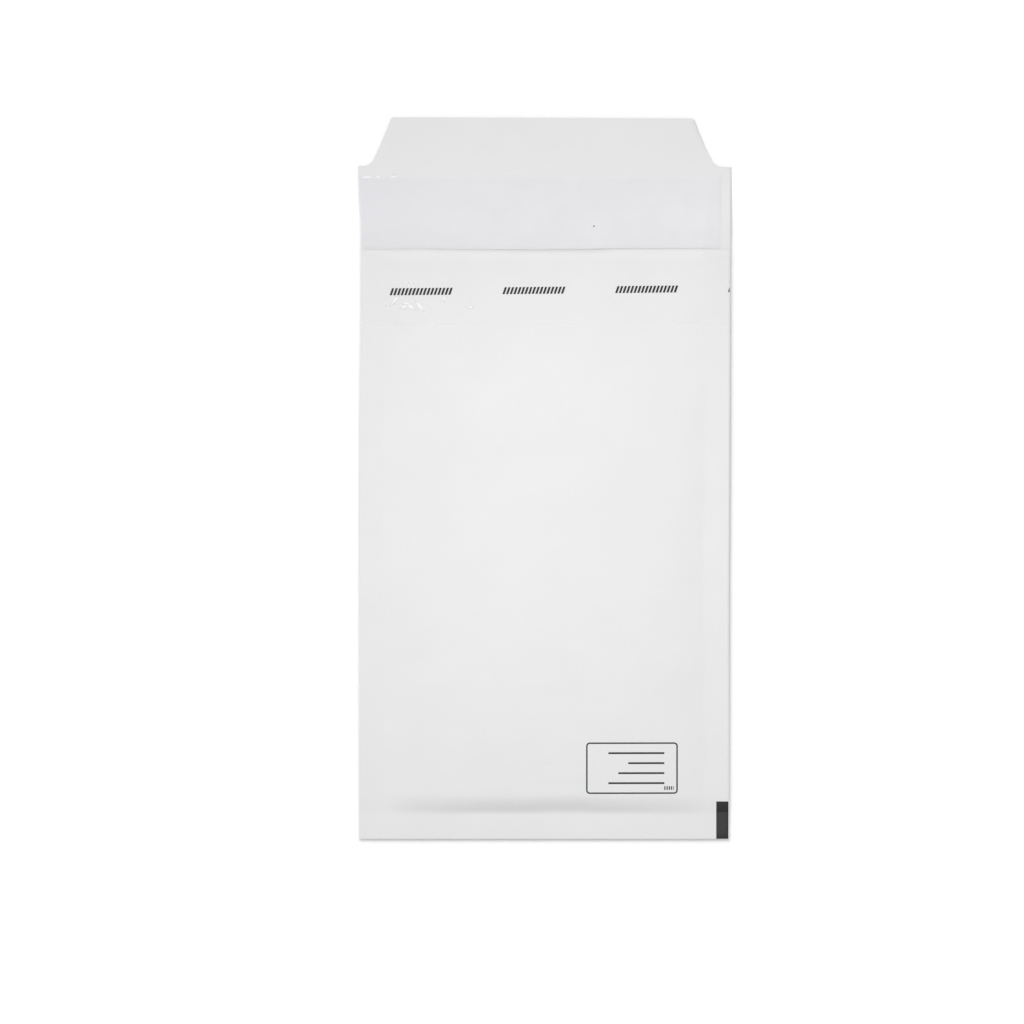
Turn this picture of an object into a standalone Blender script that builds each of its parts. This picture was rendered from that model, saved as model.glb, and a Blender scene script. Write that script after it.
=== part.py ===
"""An empty bubble mailer with its flap open, lying back side up on its front panel.

Units are metres. X is the width, +Y points to the flap and +Z points up. The origin is
the centre of the bounding box, on the surface that the mailer lies on.
"""

import math

import bmesh
import bpy

# Outline of the two paper sheets
MAILER_WIDTH = 0.140
BODY_LENGTH = 0.222
FLAP_LENGTH = 0.050
SHOULDER_LENGTH = 0.0318
FLAP_BASE_WIDTH = 0.1294
FLAP_TOP_WIDTH = 0.1142
FLAP_CUT_OFFSET = -0.0006
SHOULDER_RADIUS = 0.004
FLAP_CORNER_RADIUS = 0.0015

# Thickness of each layer, and the clearance between layers that touch
PAPER = 0.0002
FILM = 0.00015
STRIP = 0.00015
CLEARANCE = 0.0003

# Seals, and the form that the padding gives the sheets
SIDE_SEAL = 0.010
BOTTOM_SEAL = 0.0105
PAD_SLOPE = 0.010
SIDE_LIFT = 0.0022
BOTTOM_LIFT = 0.0012
MOUTH_TAPER = 0.045
MOUTH_FULLNESS = 0.5
SEAL_END_FADE = 0.026
FLAP_CURL = 0.0018

# Bubbles of the two films
BUBBLE_DIAMETER = 0.0098
BUBBLE_TOP_DIAMETER = 0.0062
BUBBLE_HEIGHT = 0.0018
BUBBLE_PITCH = 0.0114
POCKET_GAP = 0.0007
FILM_EDGE_INSET = 0.0006
FILM_MOUTH_SETBACK = 0.003

# Strips across the flap and the back
LINER_WIDTH = 0.0275
LINER_START = 0.0006
LINER_LEFT_INSET = 0.0005
LINER_RIGHT_INSET = 0.0038
ADHESIVE_INSET = 0.0015
TAPE_WIDTH = 0.027
TAPE_START = 0.0012
TAPE_EDGE_INSET = 0.0004

# Number of facets
SLOPE_STEPS = 5
TAPER_STEPS = 5
FLAP_STEPS = 4
ARC_STEPS = 5
BUBBLE_SIDES = 6

# Places that follow from the sizes
BOTTOM_Y = -(BODY_LENGTH + FLAP_LENGTH) / 2
MOUTH_Y = BOTTOM_Y + BODY_LENGTH
TOP_Y = MOUTH_Y + FLAP_LENGTH
SHOULDER_Y = MOUTH_Y + SHOULDER_LENGTH
EDGE_X = MAILER_WIDTH / 2
PAD_RISE = 2 * BUBBLE_HEIGHT + POCKET_GAP - CLEARANCE


def clear_scene():
    for obj in list(bpy.data.objects):
        bpy.data.objects.remove(obj, do_unlink=True)


def make_material(name, colour, roughness, alpha=1.0):
    material = bpy.data.materials.new(name)
    material.use_nodes = True
    shader = material.node_tree.nodes["Principled BSDF"]
    shader.inputs["Base Color"].default_value = (*colour, 1.0)
    shader.inputs["Roughness"].default_value = roughness
    shader.inputs["Metallic"].default_value = 0.0
    shader.inputs["Alpha"].default_value = alpha
    return material


def make_object(name, mesh_builder, material=None):
    mesh = bpy.data.meshes.new(name)
    mesh_builder.to_mesh(mesh)
    mesh_builder.free()
    obj = bpy.data.objects.new(name, mesh)
    bpy.context.scene.collection.objects.link(obj)
    if material:
        mesh.materials.append(material)
    return obj


def smooth_step(t):
    t = min(max(t, 0.0), 1.0)
    return t * t * (3.0 - 2.0 * t)


# Heights of the layers. Every layer is laid by the one below it, from the table upwards.


def side_fullness(x):
    return smooth_step((EDGE_X - SIDE_SEAL - abs(x)) / PAD_SLOPE)


def bottom_fullness(y):
    return smooth_step((y - BOTTOM_Y - BOTTOM_SEAL) / PAD_SLOPE)


def fullness(x, y):
    """0 in the three seals, 1 where the padding has its full height."""
    return side_fullness(x) * bottom_fullness(y)


def mouth_squeeze(y):
    """1 in the body, falling to MOUTH_FULLNESS at the mouth edge."""
    near_mouth = smooth_step((y - MOUTH_Y + MOUTH_TAPER) / MOUTH_TAPER)
    return 1.0 - (1.0 - MOUTH_FULLNESS) * near_mouth


def front_sheet_height(x, y):
    """Underside of the front sheet: flat on the table, lifted in the seals and at the flap's tip."""
    past_mouth = max(y - MOUTH_Y, 0.0)
    above_bottom = bottom_fullness(y)
    lift = BOTTOM_LIFT * (1.0 - above_bottom) + SIDE_LIFT * (1.0 - side_fullness(x)) * above_bottom
    lift *= 1.0 - smooth_step(past_mouth / SEAL_END_FADE)
    return lift + FLAP_CURL * (past_mouth / FLAP_LENGTH) ** 2


def front_film_height(x, y):
    return front_sheet_height(x, y) + PAPER + CLEARANCE


def space_between_films(x, y):
    return CLEARANCE + PAD_RISE * fullness(x, y) * mouth_squeeze(y)


def back_film_height(x, y):
    return front_film_height(x, y) + FILM + space_between_films(x, y)


def back_sheet_height(x, y):
    return back_film_height(x, y) + FILM + CLEARANCE


def reopen_tape_height(x, y):
    return back_sheet_height(x, y) + PAPER + CLEARANCE


def adhesive_height(x, y):
    return front_sheet_height(x, y) + PAPER + CLEARANCE


def liner_height(x, y):
    return adhesive_height(x, y) + STRIP + CLEARANCE


# Stations: the lines across and along the mailer where its slopes bend. All layers share them,
# so their facets stay parallel.


def steps(start, length, count):
    return [start + length * i / count for i in range(count + 1)]


def stations_across():
    right = [EDGE_X] + steps(EDGE_X - SIDE_SEAL, -PAD_SLOPE, SLOPE_STEPS)
    return sorted(right + [-x for x in right])


def stations_along():
    stations = [BOTTOM_Y]
    stations += steps(BOTTOM_Y + BOTTOM_SEAL, PAD_SLOPE, SLOPE_STEPS)
    stations += steps(MOUTH_Y - MOUTH_TAPER, MOUTH_TAPER, TAPER_STEPS)
    stations += steps(MOUTH_Y, SEAL_END_FADE, FLAP_STEPS)[1:]
    stations += steps(MOUTH_Y + SEAL_END_FADE, FLAP_LENGTH - SEAL_END_FADE, FLAP_STEPS)[1:]
    return stations


def between(stations, low, high):
    """The stations strictly inside low and high, with those two as the ends."""
    margin = CLEARANCE
    inside = [s for s in stations if low + margin < s < high - margin]
    return [low] + inside + [high]


def sheet_mesh(low, high, height, thickness):
    """A closed thin layer over the rectangle low to high, whose underside lies at height(x, y)."""
    across = between(stations_across(), low[0], high[0])
    along = between(stations_along(), low[1], high[1])
    bm = bmesh.new()
    rows = [[bm.verts.new((x, y, height(x, y))) for x in across] for y in along]
    for lower, upper in zip(rows, rows[1:]):
        for i in range(len(across) - 1):
            bm.faces.new((lower[i], upper[i], upper[i + 1], lower[i + 1]))
    raised = bmesh.ops.extrude_face_region(bm, geom=bm.faces[:])
    top = [item for item in raised["geom"] if isinstance(item, bmesh.types.BMVert)]
    bmesh.ops.translate(bm, verts=top, vec=(0.0, 0.0, thickness))
    bmesh.ops.recalc_face_normals(bm, faces=bm.faces[:])
    return bm


# The die-cut corners of the flap


def rounded_corner(before, corner, after, radius):
    """Points of the arc that rounds a corner between two straight runs."""
    to_before = [before[i] - corner[i] for i in range(2)]
    to_after = [after[i] - corner[i] for i in range(2)]
    length_before = math.hypot(*to_before)
    length_after = math.hypot(*to_after)
    to_before = [c / length_before for c in to_before]
    to_after = [c / length_after for c in to_after]
    half = math.acos(to_before[0] * to_after[0] + to_before[1] * to_after[1]) / 2
    tangent = radius / math.tan(half)
    bisector = [to_before[i] + to_after[i] for i in range(2)]
    scale = radius / math.sin(half) / math.hypot(*bisector)
    centre = [corner[i] + bisector[i] * scale for i in range(2)]
    start = [corner[i] + to_before[i] * tangent for i in range(2)]
    end = [corner[i] + to_after[i] * tangent for i in range(2)]
    first = math.atan2(start[1] - centre[1], start[0] - centre[0])
    last = math.atan2(end[1] - centre[1], end[0] - centre[0])
    turn = (last - first + math.pi) % (2 * math.pi) - math.pi
    angles = steps(first, turn, ARC_STEPS)
    return [(centre[0] + radius * math.cos(a), centre[1] + radius * math.sin(a)) for a in angles]


def waste_outline(side):
    """The paper that the die takes off one corner of the flap. side is 1 at +X and -1 at -X."""
    beyond = SIDE_SEAL
    outer_x = side * (EDGE_X + beyond)
    base = (side * FLAP_BASE_WIDTH / 2 + FLAP_CUT_OFFSET, SHOULDER_Y)
    top = (side * FLAP_TOP_WIDTH / 2 + FLAP_CUT_OFFSET, TOP_Y)
    shoulder_end = (side * EDGE_X, SHOULDER_Y)
    top_middle = (0.0, TOP_Y)
    points = [(outer_x, SHOULDER_Y)]
    points += rounded_corner(shoulder_end, base, top, SHOULDER_RADIUS)
    points += rounded_corner(base, top, top_middle, FLAP_CORNER_RADIUS)
    points += [(points[-1][0], TOP_Y + beyond), (outer_x, TOP_Y + beyond)]
    return points


def make_corner_cutter(side):
    depth = PAD_RISE + FLAP_CURL + SIDE_LIFT
    bm = bmesh.new()
    outline = [bm.verts.new((x, y, -depth)) for x, y in waste_outline(side)]
    bm.faces.new(outline)
    raised = bmesh.ops.extrude_face_region(bm, geom=bm.faces[:])
    top = [item for item in raised["geom"] if isinstance(item, bmesh.types.BMVert)]
    bmesh.ops.translate(bm, verts=top, vec=(0.0, 0.0, 2 * depth))
    bmesh.ops.recalc_face_normals(bm, faces=bm.faces[:])
    cutter = make_object("flap_corner_cutter", bm)
    hide_helper(cutter)
    return cutter


def hide_helper(obj):
    obj.hide_render = True
    obj.display_type = "WIRE"


def add_boolean(obj, other, operation):
    modifier = obj.modifiers.new(operation.title(), "BOOLEAN")
    modifier.operation = operation
    modifier.object = other
    modifier.solver = "EXACT"


# The bubbles: six-sided, in staggered rows over the flat of the padding


def bubble_centres():
    radius = BUBBLE_DIAMETER / 2
    half_width = EDGE_X - SIDE_SEAL - PAD_SLOPE - radius
    low_y = BOTTOM_Y + BOTTOM_SEAL + PAD_SLOPE + radius
    high_y = MOUTH_Y - FILM_MOUTH_SETBACK - radius - CLEARANCE
    row_pitch = BUBBLE_PITCH * math.sqrt(3) / 2
    columns = int(2 * half_width / BUBBLE_PITCH) + 1
    row_count = int((high_y - low_y) / row_pitch) + 1
    first_y = high_y - (row_count - 1) * row_pitch
    centres = []
    for row in range(row_count):
        count = columns - row % 2
        for i in range(count):
            centres.append(((i - (count - 1) / 2) * BUBBLE_PITCH, first_y + row * row_pitch))
    return centres


def make_bubbles(web_height, direction):
    """Closed bubbles rooted inside a web, pointing up (1) or down (-1)."""
    bm = bmesh.new()
    for cx, cy in bubble_centres():
        height = (space_between_films(cx, cy) - POCKET_GAP) / 2
        root = []
        tip = []
        for i in range(BUBBLE_SIDES):
            angle = 2 * math.pi * (i + 0.5) / BUBBLE_SIDES
            for ring, diameter in ((root, BUBBLE_DIAMETER), (tip, BUBBLE_TOP_DIAMETER)):
                x = cx + diameter / 2 * math.cos(angle)
                y = cy + diameter / 2 * math.sin(angle)
                rise = direction * (FILM / 2 + height) if ring is tip else 0.0
                ring.append(bm.verts.new((x, y, web_height(x, y) + FILM / 2 + rise)))
        bm.faces.new(root[::-direction])
        bm.faces.new(tip[::direction])
        for i in range(BUBBLE_SIDES):
            j = (i + 1) % BUBBLE_SIDES
            side = (root[i], root[j], tip[j], tip[i])
            bm.faces.new(side[::direction])
    bubbles = make_object("bubble_pattern", bm)
    hide_helper(bubbles)
    return bubbles


# The pieces


def make_front_sheet(material):
    """The address panel and, past the mouth, the flap, cut from one sheet."""
    bm = sheet_mesh((-EDGE_X, BOTTOM_Y), (EDGE_X, TOP_Y), front_sheet_height, PAPER)
    sheet = make_object("front_sheet", bm, material)
    add_boolean(sheet, make_corner_cutter(1), "DIFFERENCE")
    add_boolean(sheet, make_corner_cutter(-1), "DIFFERENCE")
    return sheet


def make_back_sheet(material):
    bm = sheet_mesh((-EDGE_X, BOTTOM_Y), (EDGE_X, MOUTH_Y), back_sheet_height, PAPER)
    return make_object("back_sheet", bm, material)


def make_bubble_film(name, web_height, direction, material):
    low = (-EDGE_X + FILM_EDGE_INSET, BOTTOM_Y + FILM_EDGE_INSET)
    high = (EDGE_X - FILM_EDGE_INSET, MOUTH_Y - FILM_MOUTH_SETBACK)
    film = make_object(name, sheet_mesh(low, high, web_height, FILM), material)
    add_boolean(film, make_bubbles(web_height, direction), "UNION")
    return film


def make_flap_strips(adhesive_material, liner_material):
    low = (-EDGE_X + LINER_LEFT_INSET, MOUTH_Y + LINER_START)
    high = (EDGE_X - LINER_RIGHT_INSET, MOUTH_Y + LINER_START + LINER_WIDTH)
    inner_low = (low[0] + ADHESIVE_INSET, low[1] + ADHESIVE_INSET)
    inner_high = (high[0] - ADHESIVE_INSET, high[1] - ADHESIVE_INSET)
    adhesive = sheet_mesh(inner_low, inner_high, adhesive_height, STRIP)
    make_object("adhesive_strip", adhesive, adhesive_material)
    make_object("release_liner", sheet_mesh(low, high, liner_height, STRIP), liner_material)


def make_reopen_tape(material):
    low = (-EDGE_X + TAPE_EDGE_INSET, MOUTH_Y - TAPE_START - TAPE_WIDTH)
    high = (EDGE_X - TAPE_EDGE_INSET, MOUTH_Y - TAPE_START)
    make_object("reopen_tape", sheet_mesh(low, high, reopen_tape_height, STRIP), material)


def main():
    clear_scene()
    make_front_sheet(make_material("front_paper", (0.86, 0.86, 0.87), 0.62))
    make_back_sheet(make_material("back_paper", (0.84, 0.84, 0.85), 0.62))
    film = make_material("front_film", (0.80, 0.83, 0.85), 0.22, alpha=0.6)
    make_bubble_film("front_bubble_film", front_film_height, 1, film)
    film = make_material("back_film", (0.80, 0.83, 0.85), 0.22, alpha=0.6)
    make_bubble_film("back_bubble_film", back_film_height, -1, film)
    adhesive = make_material("adhesive", (0.82, 0.80, 0.72), 0.35)
    liner = make_material("liner", (0.78, 0.80, 0.83), 0.30)
    make_flap_strips(adhesive, liner)
    make_reopen_tape(make_material("clear_tape", (0.88, 0.89, 0.90), 0.12, alpha=0.4))


main()
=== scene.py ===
"""The looks of an open bubble mailer: white paper, bubble linings, a cockled liner and clear tape."""
import math

import bmesh
import bpy
import numpy as np
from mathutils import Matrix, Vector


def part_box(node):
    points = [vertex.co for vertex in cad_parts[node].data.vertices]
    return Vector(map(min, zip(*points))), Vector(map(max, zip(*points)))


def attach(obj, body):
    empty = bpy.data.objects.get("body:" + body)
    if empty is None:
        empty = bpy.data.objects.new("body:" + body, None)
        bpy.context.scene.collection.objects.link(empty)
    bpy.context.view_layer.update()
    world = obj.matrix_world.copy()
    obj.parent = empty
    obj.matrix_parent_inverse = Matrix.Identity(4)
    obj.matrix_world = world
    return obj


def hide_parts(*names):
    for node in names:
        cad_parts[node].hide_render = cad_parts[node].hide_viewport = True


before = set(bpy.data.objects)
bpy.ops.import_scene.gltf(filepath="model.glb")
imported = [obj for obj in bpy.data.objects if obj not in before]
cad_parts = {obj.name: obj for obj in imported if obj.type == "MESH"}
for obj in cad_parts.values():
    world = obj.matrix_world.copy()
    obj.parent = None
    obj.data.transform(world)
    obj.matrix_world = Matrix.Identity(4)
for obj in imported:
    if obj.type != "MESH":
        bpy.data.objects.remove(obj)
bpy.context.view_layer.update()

# Sizes read from the frame, in metres
BACK_LOW, BACK_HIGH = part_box("back_sheet")
FRONT_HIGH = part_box("front_sheet")[1]
FILM_LOW, FILM_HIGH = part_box("front_bubble_film")
GLUE_LOW, GLUE_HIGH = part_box("adhesive_strip")
LINER_LOW, LINER_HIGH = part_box("release_liner")
TAPE_LOW, TAPE_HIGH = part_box("reopen_tape")
EDGE_X = BACK_HIGH.x
BOTTOM_Y = BACK_LOW.y
MOUTH_Y = BACK_HIGH.y
TOP_Y = FRONT_HIGH.y
PANEL_TOP = BACK_HIGH.z

# Outline of the flap: as wide as the body up to a ledge on each side, and narrower past it
MARGIN_LENGTH = 0.0318
SHOULDER_Y = MOUTH_Y + MARGIN_LENGTH
RIGHT_LEDGE_DROP = 0.0005
RIGHT_LEDGE_Y = SHOULDER_Y - RIGHT_LEDGE_DROP
FLAP_BASE_WIDTH = 0.1294
FLAP_TOP_WIDTH = 0.1142
FLAP_CUT_OFFSET = -0.0006
SHOULDER_RADIUS = 0.004
SHOULDER_POINTS = 12
FLAP_CORNER_RADIUS = 0.0015
FLAP_CORNER_POINTS = 7
LEDGE_RISE = 0.00001

# Thickness of the layers as they really lie, pressed together in the seals
PAPER = 0.0002
FILM = 0.00012
STRIP = 0.00006
GLUE_GAP = 0.00003
TAPE_GAP = 0.00005

# Seals and padding: a ramp leaves each seal with a share of the rise, and a long swell makes the rest
SIDE_SEAL = 0.0095
BOTTOM_SEAL = 0.0101
SIDE_RAMP = 0.010
SIDE_RAMP_SHARE = 0.12
BOTTOM_RAMP = 0.0066
BOTTOM_RAMP_SHARE = 0.72
SWELL_REACH = 0.055
SWELL_POWER = 1.8
RIGHT_LIFT = 0.0018
LEFT_LIFT = 0.0014
BOTTOM_LIFT = 0.0011
SEAL_DROP = 0.00012
SEAL_WAVE = 0.0008
SIDE_WAVE_LENGTH = 0.016
SIDE_WAVE_SEED = 11
BOTTOM_WAVE_LENGTH = 0.020
BOTTOM_WAVE_SEED = 17
MOUTH_TAPER = 0.075
MOUTH_FULLNESS = 0.08
SEAL_END_FADE = 0.030
FLAP_CURL = 0.0012
FLAP_REST = 0.0002
FLAP_REST_REACH = 0.008
LIP_LENGTH = 0.0040
LIP_DROOP = 0.0003
FLARE_LENGTH = 0.0015
LIP_FLARE = 0.00035
POCKET_GAP = 0.0004
PUFF = 0.0003
FULL_SPACE = PANEL_TOP - 2 * (PAPER + GLUE_GAP + FILM) - GLUE_GAP - PUFF

# The cut edge at the right bends down a little, more so on the flap
SIDE_ROLL_WIDTH = 0.0007
FLAP_ROLL_WIDTH = 0.0013
BODY_ROLL = 0.00026
MARGIN_ROLL = 0.0006
FLAP_ROLL = 0.0009
MARGIN_ROLL_REACH = 0.012
FLAP_ROLL_REACH = 0.008
ROLL_POWER = 1.5

# Noise: the size of its lattice, where the origin lies in it, and how its octaves turn against each other
NOISE_CELLS = 97
NOISE_ORIGIN = (31.37, 37.71)
OCTAVES = 3
FIRST_TURN = 0.35
OCTAVE_TURN = 0.9

# Relief of each kind: its height, its lumps' size across and along, and the seed of its noise
FLAP_COCKLE = (0.00009, 0.030, 0.018, 23)
UNDULATION = (0.00010, 0.034, 0.026, 31)
WRINKLES = (0.00010, 0.042, 0.0075, 37)
PUCKERS = (0.00005, 0.018, 0.0070, 41)
LINER_COCKLE = (0.00007, 0.016, 0.009, 61)
LINER_FINE_COCKLE = (0.00003, 0.005, 0.0035, 67)

# How far up the wrinkles reach, and how much the bubbles show through the paper
WRINKLED_LENGTH = 0.110
PRINT_THROUGH = 0.00002

# Bubbles
BUBBLE_RADIUS = 0.0049
BUBBLE_PITCH = 0.0114
BUBBLE_SEGMENTS = 18
BUBBLE_RINGS = 5
LEAST_BUBBLE = 0.00025
BUBBLE_MARGIN = 0.0004
ROW_PITCH = BUBBLE_PITCH * math.sqrt(3) / 2
DOME_POWER = 0.8

# Mesh spacing, and the least gaps between stations
PAPER_CELL = 0.0011
STRIP_CELL = 0.0006
GLUE_CELL = 0.0012
FINE_CELL = 0.0003
EDGE_STEPS = (0.0, 0.0002, 0.0004, 0.0006, 0.0008, 0.0012)
LEAST_GAP = 0.000002
LEAST_END_GAP = 0.00004
MERGE_DISTANCE = 0.000001
SHARP_DEGREES = 50

# The photograph: 1024 pixels a side, the mailer's box centre in it, and its width there
IMAGE_SIZE = 1024
BOX_CENTRE_PIXEL = (544.15, 478.05)
WIDTH_PIXELS = 371.5
METRES_PER_PIXEL = 2 * EDGE_X / WIDTH_PIXELS


def at_pixel(px, py):
    """The place on the mailer, in metres, of a pixel of the photograph."""
    return (px - BOX_CENTRE_PIXEL[0]) * METRES_PER_PIXEL, (BOX_CENTRE_PIXEL[1] - py) * METRES_PER_PIXEL


# Shape functions, all on numpy arrays


def smooth(t):
    t = np.clip(t, 0.0, 1.0)
    return t * t * (3.0 - 2.0 * t)


def noise(x, y, size_x, size_y, seed):
    """Smooth noise from -1 to 1, whose lumps are about size_x by size_y."""
    lattice = np.random.default_rng(seed).uniform(-1.0, 1.0, (NOISE_CELLS, NOISE_CELLS))
    u = x / size_x + NOISE_ORIGIN[0]
    v = y / size_y + NOISE_ORIGIN[1]
    i = np.floor(u).astype(int)
    j = np.floor(v).astype(int)
    fu = smooth(u - i)
    fv = smooth(v - j)
    left = i % NOISE_CELLS
    right = (i + 1) % NOISE_CELLS
    under = j % NOISE_CELLS
    over = (j + 1) % NOISE_CELLS
    low = lattice[under, left] * (1 - fu) + lattice[under, right] * fu
    high = lattice[over, left] * (1 - fu) + lattice[over, right] * fu
    return low * (1 - fv) + high * fv


def rough_noise(x, y, size_x, size_y, seed):
    """Octaves of noise, turned against each other so that no grid shows, from -1 to 1 together."""
    scales = [0.5**octave for octave in range(OCTAVES)]
    total = 0.0
    for octave, scale in enumerate(scales):
        angle = FIRST_TURN + OCTAVE_TURN * octave
        u = x * math.cos(angle) - y * math.sin(angle) * size_x / size_y
        v = x * math.sin(angle) * size_y / size_x + y * math.cos(angle)
        total = total + scale * noise(u, v, size_x * scale, size_y * scale, seed + octave)
    return total / sum(scales)


def relief(x, y, kind):
    """Rough noise of one of the kinds of relief above, in metres."""
    height, across, along, seed = kind
    return height * rough_noise(x, y, across, along, seed)


def rise_from_seal(distance, ramp, ramp_share):
    """0 at a seal's inner edge, 1 far from it: a ramp, steepest at the seal, and a long gentle swell."""
    swell = 1.0 - (1.0 - np.clip(distance / SWELL_REACH, 0.0, 1.0)) ** SWELL_POWER
    steep = np.sin(math.pi / 2 * np.clip(distance / ramp, 0.0, 1.0))
    return ramp_share * steep + (1.0 - ramp_share) * swell


def side_fullness(x, y):
    """0 in the side seals, whose inner edges waver, and 1 far from them."""
    wave = SEAL_WAVE * rough_noise(y, np.sign(x), SIDE_WAVE_LENGTH, SIDE_WAVE_LENGTH, SIDE_WAVE_SEED)
    return rise_from_seal(EDGE_X - SIDE_SEAL - np.abs(x) + wave, SIDE_RAMP, SIDE_RAMP_SHARE)


def bottom_fullness(x, y):
    """0 in the bottom seal, whose inner edge wavers, and 1 far from it."""
    wave = SEAL_WAVE * rough_noise(x, 0.0 * y, BOTTOM_WAVE_LENGTH, BOTTOM_WAVE_LENGTH, BOTTOM_WAVE_SEED)
    return rise_from_seal(y - BOTTOM_Y - BOTTOM_SEAL + wave, BOTTOM_RAMP, BOTTOM_RAMP_SHARE)


def fullness(x, y):
    """0 in the three seals, 1 where the padding has its full height."""
    return side_fullness(x, y) * bottom_fullness(x, y)


def mouth_squeeze(y):
    """1 in the body, less towards the mouth, where the linings lie closer."""
    return 1.0 - (1.0 - MOUTH_FULLNESS) * smooth((y - MOUTH_Y + MOUTH_TAPER) / MOUTH_TAPER)


def edge_roll(x, y):
    """How far the cut edge bends down at the right."""
    right = np.interp(y, RIGHT_EDGE[:, 1], RIGHT_EDGE[:, 0]) - x
    on_flap = smooth((y - RIGHT_LEDGE_Y - SHOULDER_RADIUS) / SHOULDER_RADIUS)
    past_shoulder = np.where(y > RIGHT_LEDGE_Y, on_flap, 1.0)
    beyond = smooth((y - MOUTH_Y) / MARGIN_ROLL_REACH)
    on_slope = smooth((y - SHOULDER_Y) / FLAP_ROLL_REACH)
    amount = BODY_ROLL + (MARGIN_ROLL - BODY_ROLL) * beyond + (FLAP_ROLL - MARGIN_ROLL) * on_slope
    width = SIDE_ROLL_WIDTH + (FLAP_ROLL_WIDTH - SIDE_ROLL_WIDTH) * on_slope
    return amount * past_shoulder * (1.0 - np.clip(right / width, 0.0, 1.0)) ** ROLL_POWER


def front_height(x, y):
    """Underside of the front sheet and flap."""
    past_mouth = np.maximum(y - MOUTH_Y, 0.0)
    above_bottom = bottom_fullness(x, y)
    side_lift = LEFT_LIFT + (RIGHT_LIFT - LEFT_LIFT) * smooth((x + EDGE_X) / (2 * EDGE_X))
    lift = BOTTOM_LIFT * (1.0 - above_bottom) + side_lift * (1.0 - side_fullness(x, y)) * above_bottom
    lift = lift * (1.0 - smooth(past_mouth / SEAL_END_FADE))
    curl = FLAP_CURL * (past_mouth / (TOP_Y - MOUTH_Y)) ** 2
    on_flap = smooth(past_mouth / FLAP_REST_REACH)
    cockle = on_flap * (FLAP_REST + FLAP_COCKLE[0] + relief(x, y, FLAP_COCKLE))
    drop = SEAL_DROP * (1.0 - np.clip((y - BOTTOM_Y) / BOTTOM_SEAL, 0.0, 1.0)) ** 2
    return lift + curl + cockle - drop - edge_roll(x, y)


def front_film_height(x, y):
    """Underside of the front lining's web."""
    return front_height(x, y) + PAPER + GLUE_GAP


def space_between_films(x, y):
    """How far apart the webs of the two linings lie."""
    return GLUE_GAP + FULL_SPACE * fullness(x, y) * mouth_squeeze(y)


def back_film_height(x, y):
    """Underside of the back lining's web."""
    return front_film_height(x, y) + FILM + space_between_films(x, y)


def bubble_lattice(x, y):
    """A lattice with the bubbles' spacing: 1 at its peaks, -0.5 at its lowest."""
    across = 2 * math.pi * x / BUBBLE_PITCH
    along = math.pi * (y - BOTTOM_Y) / ROW_PITCH
    return (2 * np.cos(across) * np.cos(along) + np.cos(2 * along)) / 3


def paper_relief(x, y):
    """What the paper of the back panel adds to the padding under it: undulation, wrinkles, puckers."""
    full = fullness(x, y) * mouth_squeeze(y)
    slope = 4 * full * (1 - full)
    low_part = 1.0 - smooth((y - BOTTOM_Y) / WRINKLED_LENGTH)
    soft = relief(x, y, UNDULATION) + low_part * relief(x, y, WRINKLES)
    return full * (PUFF + soft + PRINT_THROUGH * bubble_lattice(x, y)) + slope * relief(x, y, PUCKERS)


# The mouth's edge from left to right: pixel column, shift along y in metres, and how far it gapes
MOUTH_WANDER = (
    (350, 0.0, 0.20),
    (380, -0.00015, 0.20),
    (420, 0.00015, 0.50),
    (460, -0.00010, 0.50),
    (500, -0.00020, 0.70),
    (540, -0.00005, 1.3),
    (585, 0.0, 1.2),
    (620, 0.00020, 0.30),
    (700, 0.00025, 0.30),
    (730, 0.0, 0.20),
)
MOUTH_SHIFT = 1
MOUTH_GAPE = 2
MOUTH_WANDER_REACH = 0.012


def along_mouth(x, column):
    """A column of the table above at x, eased between its rows."""
    table = np.array(MOUTH_WANDER)
    places = at_pixel(table[:, 0], 0.0)[0]
    index = np.clip(np.searchsorted(places, x) - 1, 0, len(places) - 2)
    share = smooth((x - places[index]) / (places[index + 1] - places[index]))
    return table[index, column] * (1.0 - share) + table[index + 1, column] * share


def back_height(x, y):
    """Underside of the back sheet: past the lining it droops to the mouth, where its cut edge turns up."""
    from_mouth = MOUTH_Y - y
    inside = smooth((EDGE_X - SIDE_SEAL / 2 - np.abs(x)) / SIDE_RAMP)
    droop = LIP_DROOP * smooth(1.0 - from_mouth / LIP_LENGTH)
    turned_up = np.clip(1.0 - from_mouth / FLARE_LENGTH, 0.0, 1.0) ** 2
    flare = LIP_FLARE * along_mouth(x, MOUTH_GAPE) * turned_up
    return back_film_height(x, y) + FILM + GLUE_GAP + paper_relief(x, y) + inside * (flare - droop)


def mouth_shift(x, y):
    """How far the wavy mouth edge lies from a straight one."""
    near = smooth((y - MOUTH_Y + MOUTH_WANDER_REACH) / MOUTH_WANDER_REACH)
    return near * along_mouth(x, MOUTH_SHIFT)


# The flap's outline


def corner_arc(before, corner, after, radius, count):
    """The arc that rounds a corner between two straight runs, as an array of points."""
    before, corner, after = (np.array(p, float) for p in (before, corner, after))
    a = (before - corner) / np.linalg.norm(before - corner)
    b = (after - corner) / np.linalg.norm(after - corner)
    half = math.acos(float(a @ b)) / 2
    centre = corner + (a + b) / np.linalg.norm(a + b) * radius / math.sin(half)
    start = corner + a * radius / math.tan(half) - centre
    end = corner + b * radius / math.tan(half) - centre
    first = math.atan2(start[1], start[0])
    turn = (math.atan2(end[1], end[0]) - first + math.pi) % (2 * math.pi) - math.pi
    angles = first + turn * np.linspace(0.0, 1.0, count)
    return centre + radius * np.stack([np.cos(angles), np.sin(angles)], axis=1)


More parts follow.
